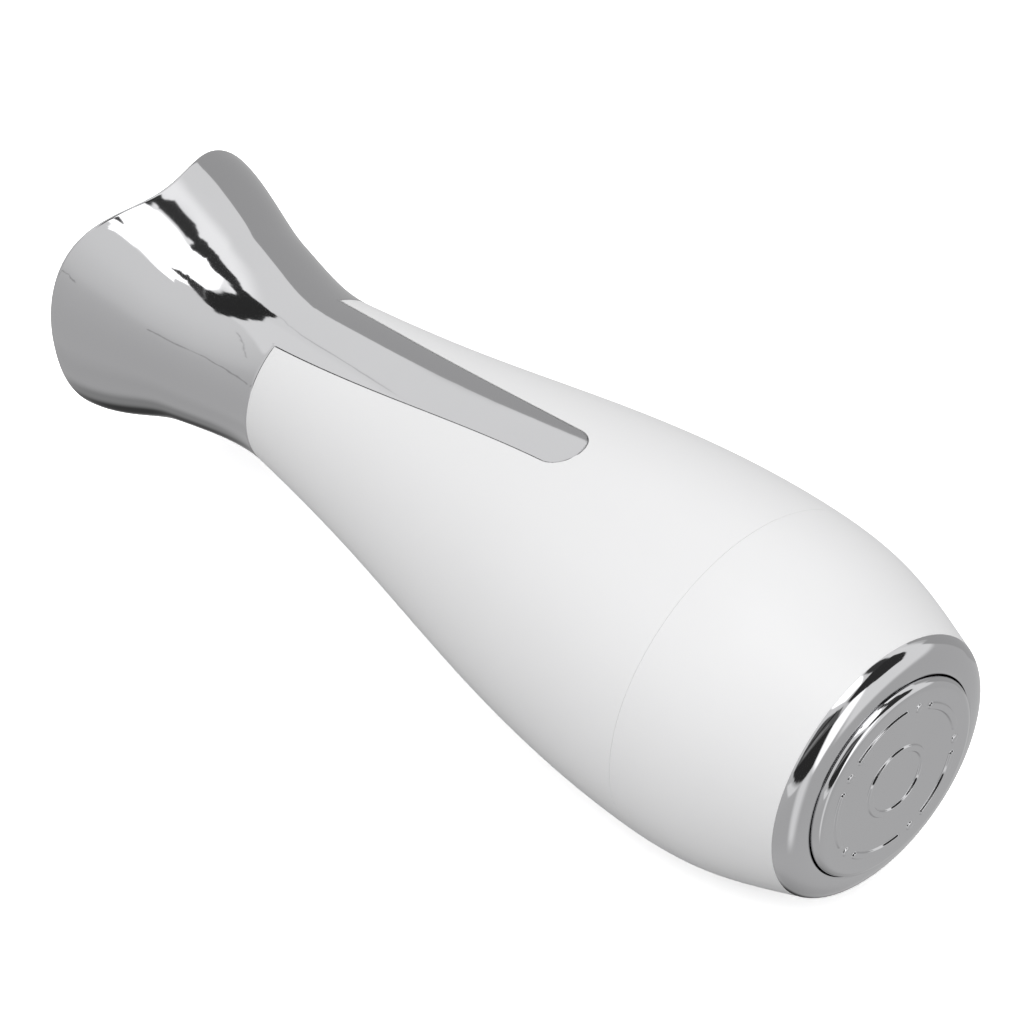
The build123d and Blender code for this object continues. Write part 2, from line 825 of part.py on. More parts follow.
# One coil round each post, between the spider and the carrier, with its ends cut flat
def make_plate_springs():
    start = spider_x + spider_wall + glue_gap
    free = carrier_x - glue_gap - start
    rise = free - spring_wire
    coil_path = Helix(pitch=rise / spring_turns, height=rise, radius=spring_radius)
    wire_plane = Plane(coil_path @ 0, z_dir=coil_path % 0)
    coil = sweep(wire_plane * Circle(spring_wire / 2), coil_path)
    springs = []
    for y, z in post_places:
        springs.append(Pos(start + spring_wire / 2, y, z) * Rot(0, 90, 0) * coil)
    return Compound(springs)


def make_motor_clip():
    y1 = motor_end_y - (motor_length - motor_clip_length) / 2
    half = motor_clip_half_height
    clip = block(motor_x - motor_clip_reach, carrier_x - glue_gap, y1 - motor_clip_length, y1, -half, half)
    return clip - cross_rod(-20, 20, motor_radius + motor_clip_gap, motor_x)


def make_motor():
    can = cross_rod(motor_end_y - motor_length, motor_end_y, motor_radius, motor_x)
    can += cross_rod(motor_end_y - 0.5, motor_end_y + motor_nose_length, motor_nose_radius, motor_x)
    shaft_hole_start = motor_end_y - motor_length + 1
    return can - cross_rod(shaft_hole_start, motor_end_y + 5, motor_shaft_radius + running_gap, motor_x)


def make_motor_shaft():
    start = motor_end_y - motor_length + 1.3
    return cross_rod(start, motor_end_y + motor_shaft_out, motor_shaft_radius, motor_x)


# A half-round brass weight, fixed on the shaft
def make_motor_weight():
    y0 = motor_end_y + weight_from_motor
    y1 = y0 + weight_length
    lobe = cross_rod(y0, y1, weight_radius, motor_x)
    lobe &= block(motor_x - 10, motor_x + 10, y0 - 1, y1 + 1, -10, 0)
    weight = lobe + cross_rod(y0, y1, weight_hub_radius, motor_x)
    return weight - cross_rod(y0 - 1, y1 + 1, motor_shaft_radius + 0.01, motor_x)


nodes = {
    "tail_shell": make_tail_shell(),
    "tail_end_cap": make_tail_end_cap(),
    "charging_socket": make_charging_socket(),
    "charge_board": make_charge_board(),
    "charge_wires": make_charge_wires(),
    "tail_screws": make_tail_screws(),
    "body_sleeve": make_body_sleeve(),
    "chassis": make_chassis(),
    "battery_cell": make_battery(),
    "battery_tabs": make_battery_tabs(),
    "battery_clip": make_battery_clip(),
    "main_board": make_main_board(),
    "board_screws": make_board_screws(),
    "board_components": make_board_components(),
    "tact_switch": make_tact_switch(),
    "switch_plunger": make_switch_plunger(),
    "power_button": make_power_button(),
    "indicator_lamp": make_lamp(),
    "lamp_lens": make_lamp_lens(),
    "hand_contact": make_hand_contact(),
    "head_collar": make_head_collar(),
    "collar_seal": make_collar_seal(),
    "bezel_ring": make_bezel_ring(),
    "plate_seal": make_plate_seal(),
    "massage_plate": make_massage_plate(),
    "plate_carrier": make_plate_carrier(),
    "post_screws": make_post_screws(),
    "plate_springs": make_plate_springs(),
    "spider": make_spider(),
    "spider_screws": make_spider_screws(),
    "motor_clip": make_motor_clip(),
    "motor": make_motor(),
    "motor_shaft": make_motor_shaft(),
    "motor_weight": make_motor_weight(),
}

# The part's own origin is under the middle of the whole object, at its lowest point
casing_box = nodes["body_sleeve"].bounding_box()
tail_box = nodes["tail_shell"].bounding_box()
plate_box = nodes["massage_plate"].bounding_box()
middle_x = (tail_box.min.X + plate_box.max.X) / 2
lowest = min(casing_box.min.Z, tail_box.min.Z)
for name, shape in nodes.items():
    export_step(Pos(-middle_x, 0, -lowest) * shape, f"parts/{name}.step")
print("moved by", round(-middle_x, 6), 0, round(-lowest, 6))
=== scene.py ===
import math
import bpy
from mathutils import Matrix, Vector


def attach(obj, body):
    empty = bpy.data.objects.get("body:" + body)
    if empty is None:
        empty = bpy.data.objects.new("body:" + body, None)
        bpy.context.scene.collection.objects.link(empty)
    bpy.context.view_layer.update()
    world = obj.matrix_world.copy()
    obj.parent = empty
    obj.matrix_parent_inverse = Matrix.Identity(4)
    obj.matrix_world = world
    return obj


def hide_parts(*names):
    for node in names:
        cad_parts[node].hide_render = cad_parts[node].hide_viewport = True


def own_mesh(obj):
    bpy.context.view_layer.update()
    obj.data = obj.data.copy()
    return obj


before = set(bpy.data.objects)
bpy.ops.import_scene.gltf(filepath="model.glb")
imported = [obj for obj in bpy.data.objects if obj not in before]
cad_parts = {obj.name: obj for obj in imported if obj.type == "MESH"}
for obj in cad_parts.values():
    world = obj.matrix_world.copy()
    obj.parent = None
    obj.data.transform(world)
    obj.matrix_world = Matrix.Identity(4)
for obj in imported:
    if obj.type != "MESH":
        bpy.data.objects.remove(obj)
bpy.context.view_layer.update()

# The camera
# It stands off the plate's side and above it, and looks down on the massager as it lies.
eye = bpy.data.cameras.new("eye")
eye.lens = 138.21
eye.sensor_width = 36
eye.clip_start = 0.05
camera = bpy.data.objects.new("camera", eye)
camera.location = (0.30364, -0.23979, 0.41557)
camera.rotation_euler = [math.radians(angle) for angle in (44.4398, 5.182, 46.1835)]
bpy.context.scene.collection.objects.link(camera)
bpy.context.scene.camera = camera
bpy.context.scene.view_settings.view_transform = "Standard"


# White sleeve
# The long one-piece body from the chrome tail to the thin seam. It is moulded in white ABS with a
# satin surface, and has a pocket in its top for the tongue and two holes in its underside.
neck = 36.85
neck_radius = 13.76
neck_slope = 0.113
front = 146.36
front_radius = 19.79
casing_points = [
    (neck, neck_radius, neck_slope),
    (60.05, 17.07, 0.1752),
    (90.05, 22.64, 0.1615),
    (118.96, 25.27, 0.0062),
    (132.96, 24.13, -0.2115),
    (front, front_radius, -0.375),
]
tips_to_middle = 75.0478
axis_height = 25.2727


# A place in metres, from millimetres along the body, counted from the tail's tips, and off its axis
def place(along, across=0.0, up=0.0):
    return Vector((along - tips_to_middle, across, up + axis_height)) / 1000


# A cubic curve between two values with their slopes
def bend(share, span, low, low_slope, high, high_slope):
    first = (1 + 2 * share) * (1 - share) ** 2 * low + share**2 * (3 - 2 * share) * high
    return first + share * (1 - share) * span * ((1 - share) * low_slope - share * high_slope)


def read_off(points, along):
    for (x0, low, low_slope), (x1, high, high_slope) in zip(points, points[1:]):
        if along <= x1:
            break
    return bend((along - x0) / (x1 - x0), x1 - x0, low, low_slope, high, high_slope)


def casing_radius(along):
    return read_off(casing_points, along)


def casing_line(start, end, spans):
    places = [start + (end - start) * n / spans for n in range(spans + 1)]
    return [(x, casing_radius(x)) for x in places]


# Joins points that lie on each other and turns all faces outwards
def tidy_mesh(apart=0.000002):
    bpy.ops.object.mode_set(mode="EDIT")
    bpy.ops.mesh.select_all(action="SELECT")
    bpy.ops.mesh.remove_doubles(threshold=apart)
    bpy.ops.mesh.normals_make_consistent(inside=False)
    bpy.ops.object.mode_set(mode="OBJECT")


# An outline beside the axis, turned into a closed round piece
def turned(name, outline):
    bpy.ops.object.select_all(action="DESELECT")
    bpy.ops.mesh.primitive_circle_add(vertices=len(outline))
    piece = bpy.context.object
    piece.name = name
    for vertex, (along, radius) in zip(piece.data.vertices, outline):
        vertex.co = place(along, 0, radius)
    bpy.ops.object.mode_set(mode="EDIT")
    bpy.ops.mesh.select_all(action="SELECT")
    bpy.ops.mesh.spin(steps=192, angle=math.tau, center=place(0), axis=(1, 0, 0), use_auto_merge=True)
    bpy.ops.object.mode_set(mode="OBJECT")
    tidy_mesh(0.000001)
    return piece


# Rounds the sharp edges of the active piece between two places along the body
def round_edges(piece, width, start=-10, end=200, segments=3):
    bpy.ops.object.mode_set(mode="EDIT")
    bpy.ops.mesh.select_mode(type="EDGE")
    bpy.ops.mesh.select_all(action="DESELECT")
    bpy.ops.mesh.edges_select_sharp(sharpness=math.radians(40))
    bpy.ops.object.mode_set(mode="OBJECT")
    for edge in piece.data.edges:
        middle = sum(piece.data.vertices[n].co.x for n in edge.vertices) / 2
        if not place(start).x <= middle <= place(end).x:
            edge.select = False
    bpy.ops.object.mode_set(mode="EDIT")
    bpy.ops.mesh.bevel(offset=width / 1000, segments=segments, affect="EDGES")
    bpy.ops.object.mode_set(mode="OBJECT")


def smooth(piece):
    bpy.ops.object.shade_smooth_by_angle(angle=math.radians(35))
    weigh = piece.modifiers.new("weigh", "WEIGHTED_NORMAL")
    weigh.keep_sharp = True
    bpy.ops.object.modifier_apply(modifier="weigh")


# A finish with fine grain in its surface, and colour and gloss that vary slightly over the piece
def finish(name, colour, shade, gloss, grain, depth, metal=0.0):
    material = bpy.data.materials.new(name)
    material.use_nodes = True
    nodes = material.node_tree.nodes
    links = material.node_tree.links
    shader = nodes["Principled BSDF"]
    shader.inputs["Metallic"].default_value = metal
    where = nodes.new("ShaderNodeTexCoord")
    cloud = nodes.new("ShaderNodeTexNoise")
    cloud.inputs["Scale"].default_value = 55
    cloud.inputs["Detail"].default_value = 4
    links.new(where.outputs["Object"], cloud.inputs["Vector"])
    tint = nodes.new("ShaderNodeMix")
    tint.data_type = "RGBA"
    tint.inputs[6].default_value = (*colour, 1)
    tint.inputs[7].default_value = (*shade, 1)
    links.new(cloud.outputs["Fac"], tint.inputs["Factor"])
    links.new(tint.outputs[2], shader.inputs["Base Color"])
    dull = nodes.new("ShaderNodeMapRange")
    dull.inputs["To Min"].default_value = gloss[0]
    dull.inputs["To Max"].default_value = gloss[1]
    links.new(cloud.outputs["Fac"], dull.inputs["Value"])
    links.new(dull.outputs["Result"], shader.inputs["Roughness"])
    fine = nodes.new("ShaderNodeTexNoise")
    fine.inputs["Scale"].default_value = 1000 / grain
    fine.inputs["Detail"].default_value = 2
    links.new(where.outputs["Object"], fine.inputs["Vector"])
    bump = nodes.new("ShaderNodeBump")
    bump.inputs["Strength"].default_value = 1
    bump.inputs["Distance"].default_value = depth / 1000
    links.new(fine.outputs["Fac"], bump.inputs["Height"])
    links.new(bump.outputs["Normal"], shader.inputs["Normal"])
    return material


satin_white = finish("satin_white", (0.84, 0.84, 0.845), (0.82, 0.82, 0.825), (0.36, 0.44), 0.3, 0.004)

seam = 122.46
casing_wall = 2.4
joint_bore = 22.7
stop_bore = 21.9
sleeve_inside = [
    (seam, joint_bore),
    (116.21, joint_bore),
    (116.21, stop_bore),
    (114.21, stop_bore),
    (114.21, joint_bore),
]
wall_line = [(x, radius - casing_wall) for x, radius in reversed(casing_line(38.35, 114.2, 40))]
spigot = [(38.35, 9.2), (33.65, 9.2), (33.65, 3), (31.15, 3), (31.15, 11.2), (neck, 11.2)]
sleeve = turned("sleeve", casing_line(neck, seam, 70) + sleeve_inside + wall_line + spigot)
round_edges(sleeve, 0.08, start=seam - 0.1, end=seam + 0.1, segments=2)
round_edges(sleeve, 0.12, start=neck - 0.1, end=neck + 0.1, segments=2)
sleeve.data.materials.append(satin_white)

tongue_end = 90
root_half = 6.25
tongue_sides = [(neck, root_half, -0.02), (66, 4.8, -0.0614), (tongue_end, 3.7, -0.02)]
tongue_turns = [math.pi * (n / 24 - 0.5) for n in range(25)]


# One line across the tongue or across its round end, grown by gap
def across_tongue(along, gap=0.0, round_share=0.0, drop=0.0):
    half = read_off(tongue_sides, along) + gap
    line = []
    for turn in tongue_turns:
        x = along + half * round_share * math.cos(turn)
        y = half * math.sin(turn)
        line.append(place(x, y, math.sqrt((casing_radius(x) - drop) ** 2 - y**2)))
    return line


def tongue_lines(start, gap=0.0, drop=0.0):
    straight_part = [across_tongue(start + (tongue_end - start) * n / 44, gap, 0, drop) for n in range(45)]
    return straight_part + [across_tongue(tongue_end, gap, math.sin(n * math.pi / 24), drop) for n in range(1, 13)]


# A grid whose rows of points lie on the given lines
def draped(name, lines):
    bpy.ops.object.select_all(action="DESELECT")
    bpy.ops.mesh.primitive_grid_add(x_subdivisions=len(lines[0]) - 1, y_subdivisions=len(lines) - 1)
    piece = bpy.context.object
    piece.name = name
    points = [point for line in lines for point in line]
    for vertex, point in zip(piece.data.vertices, points):
        vertex.co = point
    return piece


def thicken(piece, wall, offset, wall_group=""):
    layer = piece.modifiers.new("wall", "SOLIDIFY")
    layer.thickness = wall / 1000
    layer.offset = offset
    layer.vertex_group = wall_group
    bpy.ops.object.modifier_apply(modifier="wall")


# Cuts one piece out of another and removes it
def cut(piece, cutter):
    bpy.ops.object.select_all(action="DESELECT")
    bpy.context.view_layer.objects.active = piece
    piece.select_set(True)
    hole = piece.modifiers.new("hole", "BOOLEAN")
    hole.object = cutter
    hole.solver = "MANIFOLD"
    bpy.ops.object.modifier_apply(modifier="hole")
    bpy.data.objects.remove(cutter)


pocket = draped("pocket", tongue_lines(neck - 2, gap=0.12))
thicken(pocket, 3.4, 0)
tidy_mesh()
cut(sleeve, pocket)
button_well = (84, 6.3)
lamp_hole = (97, 1.15)
for along, radius in (button_well, lamp_hole):
    below = place(along, 0, -22)
    bpy.ops.mesh.primitive_cylinder_add(vertices=128, radius=radius / 1000, depth=0.012, location=below)
    cut(sleeve, bpy.context.object)
smooth(sleeve)
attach(sleeve, "housing")
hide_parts("body_sleeve")


# White head collar
# The front part of the body, moulded in the same white ABS. It is pushed into the sleeve at the
# thin seam, and a shelf inside it carries the disc that the massage plate slides in.
shelf_front = 142.06
shelf_back = 138.06
shelf_bore = 16.8
spigot_root = 124.46
spigot_end = 118.61
spigot_bore = 20.8
spigot_radius = 22.6
collar_inside = [
    (front, 17.39),
    (shelf_front, casing_radius(shelf_front) - casing_wall),
    (shelf_front, shelf_bore),
    (shelf_back, shelf_bore),
    (shelf_back, casing_radius(shelf_back) - casing_wall),
    (132, casing_radius(132) - casing_wall),
    (spigot_root, casing_radius(spigot_root) - casing_wall),
    (spigot_root, spigot_bore),
    (spigot_end, spigot_bore),
    (spigot_end, spigot_radius),
    (seam, spigot_radius),
]
collar = turned("collar", casing_line(seam, front, 24) + collar_inside)
round_edges(collar, 0.08, start=seam - 0.1, end=seam + 0.1, segments=2)
round_edges(collar, 0.08, start=front - 0.1, end=front + 0.1, segments=2)
smooth(collar)
collar.data.materials.append(satin_white)
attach(collar, "housing")
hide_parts("head_collar")


# Chrome tail and tongue
# One piece of plated ABS. It widens from the round neck to a saddle-shaped end, and its long
# tongue lies nearly flush in the top of the sleeve, where the palm touches it.
chrome = finish("bright_chrome", (0.6, 0.6, 0.61), (0.57, 0.57, 0.58), (0.035, 0.07), 9, 0.02, metal=1)
saddle_depth = 5.7
saddle_half = 20.95
saddle_top = 21.49
saddle_bottom = 21.4
middle_half = 16.09
middle_height = 14.81
squarer_top = 0.18
squarer_bottom = 0.27


def tail_half(along, middle, end, end_slope):
    middle_slope = (neck_radius - end) / neck
    sides = [(0, end, end_slope), (neck / 2, middle, middle_slope), (neck, neck_radius, neck_slope)]
    return read_off(sides, along)


# One point of the tail: round at the neck and a little squarer at the end, more so underneath
def tail_point(along, turn):
    top = math.cos(turn) > 0
    squarer = squarer_top if top else squarer_bottom
    power = 2 / (2 + squarer * math.sin(math.pi / 2 * max(1 - along / neck, 0)))
    width = tail_half(along, middle_half, saddle_half, -0.113)
    height = tail_half(along, middle_height, saddle_top if top else saddle_bottom, -0.04)
    y = width * math.copysign(abs(math.sin(turn)) ** power, math.sin(turn))
    z = height * math.copysign(abs(math.cos(turn)) ** power, math.cos(turn))
    return y, z


# Where the saddle's surface lies: hollow in the middle, with a tip at each side
def saddle_height(across):
    share = min(abs(across) / saddle_half, 1)
    return saddle_depth * math.cos(math.pi / 2 * share) ** 2.3 + 0.7 * share**2


# Where a line along the tail meets the saddle, found by going back and forth between the two
def saddle_end(turn):
    along = 2.0
    for _ in range(12):
        y, z = tail_point(along, turn)
        along = saddle_height(y)
    return along


root_turns = [math.asin(root_half * math.sin(turn) / neck_radius) for turn in tongue_turns]
rest_of_turn = math.tau - 2 * root_turns[-1]
tail_turns = root_turns + [root_turns[-1] + rest_of_turn * n / 104 for n in range(1, 105)]
tail_ends = [saddle_end(turn) for turn in tail_turns]
rows = 60
tail_lines = []
# The rows next to the rim are left out, which makes room to round it
for n in [0, *range(4, rows + 1)]:
    line = []
    for turn, end in zip(tail_turns, tail_ends):
        along = end + (neck - end) * n / rows
        line.append(place(along, *tail_point(along, turn)))
    tail_lines.append(line)
tail = draped("tail", tail_lines)
draped("tongue", [tail_lines[-1][: len(tongue_turns)]] + tongue_lines(neck, drop=0.03)[1:])
tail.select_set(True)
bpy.context.view_layer.objects.active = tail
bpy.ops.object.join()
tidy_mesh()
walls = tail.vertex_groups.new(name="walls")
for vertex in tail.data.vertices:
    walls.add([vertex.index], 0.7 if vertex.co.x > place(neck + 0.1).x else 1.0, "REPLACE")
thicken(tail, 2.0, -1, "walls")
# What the wall pushes past the saddle is brought back to it
for vertex in tail.data.vertices:
    vertex.co.x = max(vertex.co.x, place(saddle_height(vertex.co.y * 1000)).x)
tidy_mesh()
round_edges(tail, 0.95, end=saddle_depth + 2.5, segments=6)
round_edges(tail, 0.3, start=neck - 0.5, segments=3)
smooth(tail)
tail.data.materials.append(chrome)
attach(tail, "housing")
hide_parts("tail_shell")


# Chrome bezel
# A ring of plated ABS on the collar's front. It rolls over to a lip round the massage plate, and
# a dark gap is left between them.
lip = 148.7
front_edge = []
for n in range(25):
    t = n / 24
    weights = ((1 - t) ** 3, 3 * t * (1 - t) ** 2, 3 * t**2 * (1 - t), t**3)
    knots = ((front, front_radius), (front + 1.484, 19.233), (lip - 0.235, 17.218), (lip, 15.5))
    front_edge.append(tuple(sum(w * knot[k] for w, knot in zip(weights, knots)) for k in (0, 1)))
plate_hole = 15.15
skirt_inside = 16.2
skirt_outside = 17.2
bezel_inside = [
    (lip - 0.09, plate_hole + 0.1),
    (lip - 0.3, plate_hole),
    (146.7, plate_hole),
    (146.7, skirt_inside),
    (shelf_front + 0.1, skirt_inside),
    (shelf_front + 0.1, skirt_outside),
    (front + 0.05, skirt_outside),
    (front + 0.05, 19.4),
]
bezel = turned("bezel", front_edge + bezel_inside)
smooth(bezel)
bezel.data.materials.append(chrome)
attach(bezel, "housing")
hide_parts("bezel_ring")


# Massage plate
# A polished steel plate with a rounded edge, which stands 1 mm proud of the bezel. A ring, five
# arcs and five dots are pressed up from it, and it gives a little when it is pushed to the skin.
plate_face = 149.75
plate_radius = 15
relief = 0.25
ring_radius = 5
marks_radius = 11.25
mark_apart = 72
first_mark = 101.5
arc_half = 23
mark_half = 0.62
shoulder = 0.27
dot_radius = 0.7
fine_step = 0.06


# Height of a mark's round-shouldered ridge at a distance from its middle line
def ridge(distance):
    share = min(max((mark_half - distance) / shoulder, 0), 1)
    return relief * share**2 * (3 - 2 * share)


def dome(distance):
    return relief * math.sqrt(max(1 - (distance / dot_radius) ** 2, 0))


# Distance on the plate from the circle of marks, at an angle off a point of that circle
def from_mark(radius, angle):
    turn = math.radians(angle)
    return math.hypot(radius * math.cos(turn) - marks_radius, radius * math.sin(turn))


def mark_height(radius, angle):
    height = ridge(abs(radius - ring_radius))
    if abs(radius - marks_radius) < 0.84:
        half = mark_apart / 2
        off = abs((angle - first_mark + half) % mark_apart - half)
        arc = from_mark(radius, max(off - arc_half, 0))
        dot = from_mark(radius, half - off)
        height = max(height, ridge(arc), dome(dot))
    return height


# The rings of points lie close together only where the marks are
rings = [0.01, 2, 3.8] + [4.2 + fine_step * n for n in range(27)] + [6.6, 8.6, 10.1]
rings += [10.41 + fine_step * n for n in range(29)] + [12.6, 13.2]
face_lines = []
angles = [360 * n / 840 for n in range(841)]


# A circle of points on the plate, which lies at the given places along the body
def circle(radius, places):
    line = []
    for angle, along in zip(angles, places):
        turn = math.radians(angle)
        line.append(place(along, radius * math.cos(turn), radius * math.sin(turn)))
    return line


for radius in rings:
    face_lines.append(circle(radius, [plate_face + mark_height(radius, angle) for angle in angles]))
edge_width = 1.3
edge_depth = 1.1
edge = []
for n in range(10):
    turn = math.pi / 2 * n / 9
    across = plate_radius - edge_width * (1 - math.sin(turn))
    edge.append((across, plate_face - edge_depth * (1 - math.cos(turn))))
plate_back = 148.55
skirt_end = 144.75
skirt_bore = 13.9
plate_inside = [(plate_radius, skirt_end), (skirt_bore, skirt_end), (skirt_bore, plate_back), (0.01, plate_back)]
for radius, along in edge + plate_inside:
    face_lines.append(circle(radius, [along] * len(angles)))
plate = draped("plate", face_lines)
tidy_mesh(0.000012)
bpy.ops.object.shade_smooth_by_angle(angle=math.radians(40))
plate.data.materials.append(chrome)
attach(plate, "massage_head")
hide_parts("massage_plate")


# Power button
# The only control, a white ABS cap that slides in the round well in the sleeve's underside and
# stands on the switch's plunger.
def coat(names, look):
    for name in names.split():
        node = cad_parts[name]
        node.data.materials.clear()
        node.data.materials.append(look)


white_button = finish("white_button", (0.80, 0.80, 0.81), (0.78, 0.78, 0.79), (0.34, 0.42), 0.3, 0.004)
coat("power_button", white_button)


# Lid of the tail
# A white moulded ABS lid, pressed into the tail's saddle-shaped end. It closes the tail and has the
# hole for the charging plug.
end_cap = finish("end_cap", (0.84, 0.84, 0.845), (0.82, 0.82, 0.825), (0.3, 0.4), 0.4, 0.006)
coat("tail_end_cap", end_cap)


# Indicator lamp and its lens
# A small white lamp on the main board, and a short rod of clear plastic that brings its light to
# the hole beside the button.
coat("lamp_lens", finish("clear_lens", (0.86, 0.87, 0.88), (0.84, 0.85, 0.86), (0.15, 0.25), 0.5, 0.004))
coat("indicator_lamp", finish("lamp_white", (0.85, 0.85, 0.8), (0.82, 0.82, 0.77), (0.3, 0.4), 0.3, 0.004))


# Inner mouldings
# The chassis, the spider, the plate's carrier and the bodies of the switch and the charging socket.
# They are moulded in uncoloured, slightly yellowish plastic with a dull surface.
raw_plastic = finish("inner_plastic", (0.78, 0.78, 0.76), (0.74, 0.74, 0.72), (0.5, 0.6), 0.4, 0.01)
coat("chassis plate_carrier spider charging_socket tact_switch", raw_plastic)
coat("switch_plunger", finish("plunger_black", (0.03, 0.03, 0.03), (0.04, 0.04, 0.04), (0.4, 0.5), 0.2, 0.006))


# Seals
# Two rings of dark moulded silicone. One lies in a pocket of the bezel, round the plate, and the
# other in a groove round the collar's spigot.
dark_rubber = finish("dark_rubber", (0.05, 0.05, 0.05), (0.04, 0.04, 0.04), (0.6, 0.75), 0.2, 0.01)
coat("plate_seal collar_seal", dark_rubber)


# Springs behind the plate
# Four coils of bright steel wire, one round each post of the carrier. They stand on the fixed
# spider and are pressed shorter when the plate gives.
spring_steel = finish("spring_steel", (0.55, 0.55, 0.56), (0.5, 0.5, 0.51), (0.25, 0.35), 0.5, 0.004, metal=1)
spring_foot = 138.062
spring_length = 6.887
spring_radius = 2.15
spring_turns = 4
posts_apart = 15.8
wire_radius = 0.25
wire_sides = 12
bpy.ops.object.select_all(action="DESELECT")
bpy.ops.mesh.primitive_circle_add(vertices=wire_sides)
springs = bpy.context.object
springs.name = "springs"
for n, vertex in enumerate(springs.data.vertices):
    turn = math.tau * n / wire_sides
    vertex.co = Vector((wire_radius * math.cos(turn), spring_radius + wire_radius * math.sin(turn), 0)) / 1000
coil = springs.modifiers.new("coil", "SCREW")
coil.axis = "X"
coil.angle = spring_turns * math.tau
coil.screw_offset = (spring_length - 2 * wire_radius) / 1000
coil.steps = 96
coil.render_steps = 96
bpy.ops.object.modifier_apply(modifier="coil")
bpy.ops.object.mode_set(mode="EDIT")
bpy.ops.mesh.select_all(action="SELECT")
bpy.ops.mesh.fill_holes(sides=wire_sides)
bpy.ops.mesh.select_all(action="SELECT")
bpy.ops.mesh.normals_make_consistent(inside=False)
bpy.ops.object.mode_set(mode="OBJECT")
for apart in ((0, posts_apart / 1000, 0), (0, 0, posts_apart / 1000)):
    row = springs.modifiers.new("row", "ARRAY")
    row.use_relative_offset = False
    row.use_constant_offset = True
    row.constant_offset_displace = apart
    bpy.ops.object.modifier_apply(modifier="row")
for vertex in springs.data.vertices:
    vertex.co += place(spring_foot + wire_radius, -posts_apart / 2, -posts_apart / 2)
bpy.ops.object.shade_smooth_by_angle(angle=math.radians(40))
springs.data.materials.append(spring_steel)
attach(springs, "housing")
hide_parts("plate_springs")
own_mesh(springs)


# Clips and screws
# The clips that hold the cell and the motor are bent from spring strip. The screws are of
# zinc-plated steel.
coat("battery_clip motor_clip", spring_steel)
screw_steel = finish("screw_steel", (0.5, 0.5, 0.51), (0.45, 0.45, 0.46), (0.25, 0.4), 0.3, 0.004, metal=1)
coat("tail_screws board_screws post_screws spider_screws", screw_steel)


# Circuit boards
# Two boards of glass fibre and resin under green lacquer. Black moulded components are soldered to
# the larger one, and a red pair of leads runs from the smaller one, which carries the socket.
green_board = finish("circuit_board", (0.05, 0.28, 0.12), (0.04, 0.24, 0.10), (0.35, 0.45), 1.2, 0.01)
coat("main_board charge_board", green_board)
chip_black = finish("chip_black", (0.04, 0.04, 0.045), (0.05, 0.05, 0.055), (0.5, 0.6), 0.2, 0.006)
coat("board_components", chip_black)
coat("charge_wires", finish("wire_red", (0.6, 0.05, 0.04), (0.55, 0.04, 0.03), (0.35, 0.45), 0.5, 0.006))


# Battery
# A round lithium cell in blue shrink film, with a nickel tab welded to each end. It lies in the
# chassis, under its clip.
coat("battery_cell", finish("cell_wrap", (0.05, 0.2, 0.5), (0.04, 0.18, 0.46), (0.3, 0.4), 3, 0.02))
nickel = finish("nickel_tab", (0.62, 0.6, 0.56), (0.56, 0.54, 0.5), (0.25, 0.4), 0.5, 0.004, metal=1)
coat("battery_tabs", nickel)


# Motor
# A drawn steel can, clipped in behind the plate. Its steel shaft turns a half-round brass weight,
# which shakes the plate.
motor_can = finish("motor_can", (0.6, 0.6, 0.61), (0.55, 0.55, 0.56), (0.22, 0.35), 0.6, 0.004, metal=1)
coat("motor motor_shaft", motor_can)
brass = finish("contact_brass", (0.72, 0.56, 0.28), (0.66, 0.5, 0.24), (0.25, 0.35), 0.5, 0.004, metal=1)
coat("motor_weight", brass)


# Hand contact
# A turned brass spring pin, which stands on the floor of the chassis. It joins the circuit to the
# chrome tongue that the hand touches.
coat("hand_contact", brass)


# Floor
# Pale and plain, and white as the camera sees it, with the massager's soft shadow on it.
bpy.ops.object.select_all(action="DESELECT")
bpy.ops.mesh.primitive_plane_add(size=6, location=(0, 0, -0.0001))
floor = bpy.context.object
floor.name = "floor"
pale = finish("pale_floor", (0.39, 0.39, 0.39), (0.38, 0.38, 0.38), (0.8, 0.9), 4, 0.01)
floor.data.materials.append(pale)
floor.visible_glossy = False
nodes = pale.node_tree.nodes
links = pale.node_tree.links
path = nodes.new("ShaderNodeLightPath")
whiter = nodes.new("ShaderNodeMix")
whiter.data_type = "RGBA"
whiter.inputs[7].default_value = (2, 2, 2, 1)
links.new(path.outputs["Is Camera Ray"], whiter.inputs["Factor"])
links.new(nodes["Mix"].outputs[2], whiter.inputs[6])
links.new(whiter.outputs[2], nodes["Principled BSDF"].inputs["Base Color"])


# Studio light
# An even white tent round and under the massager, which lights it softly from all sides. Polished
# metal also mirrors what hangs in the tent: a softbox overhead, light and grey screens, black flags.
# Under the tail, what metal mirrors is painted darker as the massager's shadow on the floor.
world = bpy.data.worlds.new("studio")
bpy.context.scene.world = world
world.use_nodes = True
nodes = world.node_tree.nodes
links = world.node_tree.links
tent = nodes["Background"]
tent.inputs["Color"].default_value = (1, 1, 1, 1)
tent.inputs["Strength"].default_value = 1
way = nodes.new("ShaderNodeTexCoord")


def towards(azimuth, height):
    a = math.radians(azimuth)
    h = math.radians(height)
    return Vector((math.cos(h) * math.cos(a), math.cos(h) * math.sin(a), math.sin(h)))


def node_math(kind, first, second):
    node = nodes.new("ShaderNodeMath")
    node.operation = kind
    for socket, value in zip(node.inputs, (first, second)):
        if isinstance(value, (int, float)):
            socket.default_value = value
        else:
            links.new(value, socket)
    return node.outputs[0]


